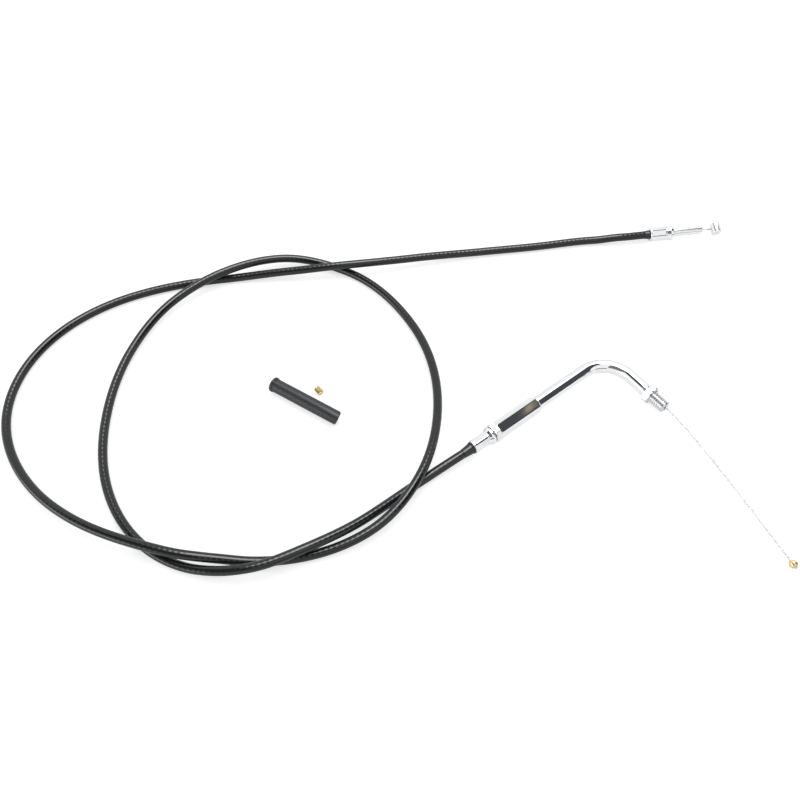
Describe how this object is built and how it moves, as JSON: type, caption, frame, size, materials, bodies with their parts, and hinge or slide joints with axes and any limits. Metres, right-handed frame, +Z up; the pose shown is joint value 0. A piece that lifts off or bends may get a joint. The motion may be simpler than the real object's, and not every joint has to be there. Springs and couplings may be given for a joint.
{
  "type": "throttle cable",
  "caption": "motorcycle throttle control cable with black jacket, in-line adjuster, bent tube with threaded end, ball and barrel wire ends, loose rubber boot and brass ferrule",
  "frame": {"origin": "floor point under the middle of the end fittings and loose pieces, the laid cord left out", "axes": "+X along the longer side of the layout, from the loops to the two ends; +Y from the grip end to the carburettor end; +Z up from the floor"},
  "size_m": [0.4589, 0.2643, 0.0119],
  "materials": {
    "jacket": "smooth extruded, half gloss",
    "conduit": "wound wire",
    "liner": "smooth",
    "wire": "stranded wire",
    "chrome": "polished plate",
    "plated_steel": "bright plate",
    "rubber": "moulded, dull",
    "brass": "turned"
  },
  "bodies": {
    "cable_housing": {"outer_jacket": "jacket", "steel_conduit": "conduit", "conduit_liner": "liner", "inner_wire": "wire", "carb_end_seal": "rubber", "carb_ferrule": "chrome", "carb_stem": "chrome", "grip_end_seal": "rubber", "grip_ferrule": "chrome", "adjuster_screw": "plated_steel"},
    "elbow_section": {"swivel_neck": "plated_steel", "elbow_tube": "chrome", "elbow_liner": "liner", "elbow_wire": "wire", "threaded_fitting": "chrome"},
    "sleeve": {"adjuster_sleeve": "chrome"},
    "locking_nut": {"lock_nut": "plated_steel"},
    "jamming_nut": {"jam_nut": "plated_steel"},
    "grip_side_wire": {"grip_wire": "wire", "ball_end": "brass"},
    "carb_side_wire": {"carb_wire": "wire", "carb_nipple": "chrome"},
    "loose_boot": {"adjuster_boot": "rubber"},
    "loose_ferrule": {"spare_ferrule": "brass"}
  },
  "joints": [
    {"name": "elbow_slide", "type": "slide", "parent": "cable_housing", "child": "elbow_section", "axis": [0.788, 0.6157, 0], "range_m": [0, 0.0112]},
    {"name": "sleeve_spin", "type": "hinge", "parent": "elbow_section", "child": "sleeve", "pos_m": [-0.00489, -0.06943, 0.0055], "axis": [0.788, 0.6157, 0], "range_deg": [0, 5040]},
    {"name": "lock_nut_spin", "type": "hinge", "parent": "cable_housing", "child": "locking_nut", "pos_m": [-0.01864, -0.08018, 0.0055], "axis": [0.788, 0.6157, 0], "continuous": true},
    {"name": "jam_nut_spin", "type": "hinge", "parent": "elbow_section", "child": "jamming_nut", "pos_m": [0.07609, -0.05244, 0.0055], "axis": [0.5821, -0.8131, 0], "continuous": true},
    {"name": "grip_wire_slide", "type": "slide", "parent": "elbow_section", "child": "grip_side_wire", "axis": [0.5821, -0.8131, 0], "range_m": [-0.02, 0.005]},
    {"name": "carb_wire_slide", "type": "slide", "parent": "cable_housing", "child": "carb_side_wire", "axis": [0.9914, 0.1305, 0], "range_m": [-0.005, 0.02]},
    {"name": "boot_lift", "type": "slide", "parent": "cable_housing", "child": "loose_boot", "axis": [0, 0, 1], "range_m": [0, 0.05]},
    {"name": "ferrule_lift", "type": "slide", "parent": "cable_housing", "child": "loose_ferrule", "axis": [0, 0, 1], "range_m": [0, 0.05]}
  ],
  "couplings": [
    {"joint": "sleeve_spin", "follows": "elbow_slide", "rad_per_m": 7854},
    {"joint": "carb_wire_slide", "follows": "grip_wire_slide", "ratio": -1}
  ]
}
